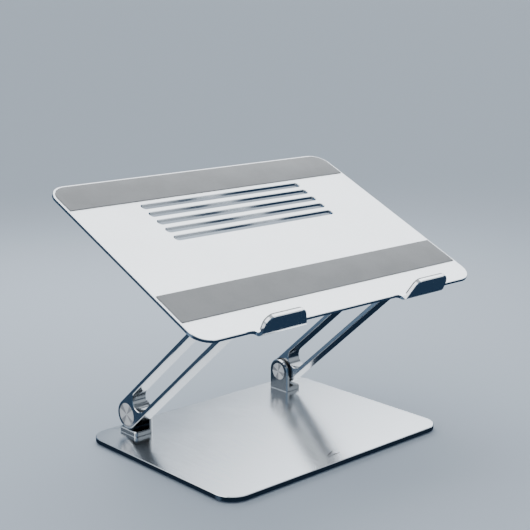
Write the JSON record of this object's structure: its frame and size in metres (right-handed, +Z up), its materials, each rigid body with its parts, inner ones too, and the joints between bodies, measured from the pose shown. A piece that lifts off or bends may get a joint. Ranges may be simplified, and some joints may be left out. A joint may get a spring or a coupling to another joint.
{
  "type": "laptop stand",
  "caption": "Folding laptop stand: a rounded base plate, two slotted arms on friction hinges, and a tilting platform with hooks, vents and grip strips.",
  "frame": {"origin": "on the surface the feet rest on, under the middle of the stand's overall width and depth in its working pose", "axes": "+X to the right and along every hinge axis, +Y to the back (away from the user), +Z up"},
  "size_m": [0.28, 0.1872, 0.1998],
  "materials": {
    "platform_aluminium": "fine bead-blasted, clear anodised, bright chamfers",
    "base_aluminium": "fine brushed, clear anodised, bright chamfers",
    "arm_aluminium": "polished, clear anodised",
    "bracket_aluminium": "polished",
    "spun_cap": "spun, radial sheen",
    "grip_silicone": "matte grey silicone",
    "foot_rubber": "matte black rubber",
    "friction_polymer": "matte black",
    "bush_bronze": "plain turned",
    "hinge_steel": "zinc plated",
    "dark_inlay": "matte dark grey"
  },
  "bodies": {
    "base": {"base_plate": "base_aluminium", "base_pictogram": "dark_inlay", "front_left_foot": "foot_rubber", "front_right_foot": "foot_rubber", "rear_left_foot": "foot_rubber", "rear_right_foot": "foot_rubber", "left_lower_bracket": "bracket_aluminium", "left_lower_bracket_screws": "hinge_steel", "left_lower_axle": "hinge_steel", "left_lower_friction_washer": "friction_polymer", "left_lower_spring_washers": "hinge_steel", "left_lower_lock_nut": "hinge_steel", "left_lower_inner_cap": "spun_cap", "right_lower_bracket": "bracket_aluminium", "right_lower_bracket_screws": "hinge_steel", "right_lower_axle": "hinge_steel", "right_lower_friction_washer": "friction_polymer", "right_lower_spring_washers": "hinge_steel", "right_lower_lock_nut": "hinge_steel", "right_lower_inner_cap": "spun_cap"},
    "left_arm": {"left_arm": "arm_aluminium", "left_lower_outer_cap": "spun_cap", "left_lower_bush": "bush_bronze", "left_upper_outer_cap": "spun_cap", "left_upper_bush": "bush_bronze"},
    "right_arm": {"right_arm": "arm_aluminium", "right_lower_outer_cap": "spun_cap", "right_lower_bush": "bush_bronze", "right_upper_outer_cap": "spun_cap", "right_upper_bush": "bush_bronze"},
    "platform": {"platform_plate": "platform_aluminium", "front_grip_strip": "grip_silicone", "rear_grip_strip": "grip_silicone", "left_upper_bracket": "bracket_aluminium", "left_upper_bracket_screws": "hinge_steel", "left_upper_axle": "hinge_steel", "left_upper_friction_washer": "friction_polymer", "left_upper_spring_washers": "hinge_steel", "left_upper_lock_nut": "hinge_steel", "left_upper_inner_cap": "spun_cap", "left_hook_liner": "grip_silicone", "right_upper_bracket": "bracket_aluminium", "right_upper_bracket_screws": "hinge_steel", "right_upper_axle": "hinge_steel", "right_upper_friction_washer": "friction_polymer", "right_upper_spring_washers": "hinge_steel", "right_upper_lock_nut": "hinge_steel", "right_upper_inner_cap": "spun_cap", "right_hook_liner": "grip_silicone"}
  },
  "joints": [
    {"name": "left_arm_lift", "type": "hinge", "parent": "base", "child": "left_arm", "pos_m": [-0.0757, 0.07016, 0.0214], "axis": [-1, 0, 0], "range_deg": [-41.5, 48.5]},
    {"name": "right_arm_lift", "type": "hinge", "parent": "base", "child": "right_arm", "pos_m": [0.0757, 0.07016, 0.0214], "axis": [-1, 0, 0], "range_deg": [-41.5, 48.5]},
    {"name": "platform_tilt", "type": "hinge", "parent": "left_arm", "child": "platform", "pos_m": [-0.0757, -0.04053, 0.11933], "axis": [-1, 0, 0], "range_deg": [-25, 65.7]}
  ],
  "couplings": [
    {"joint": "right_arm_lift", "follows": "left_arm_lift", "ratio": 1}
  ]
}
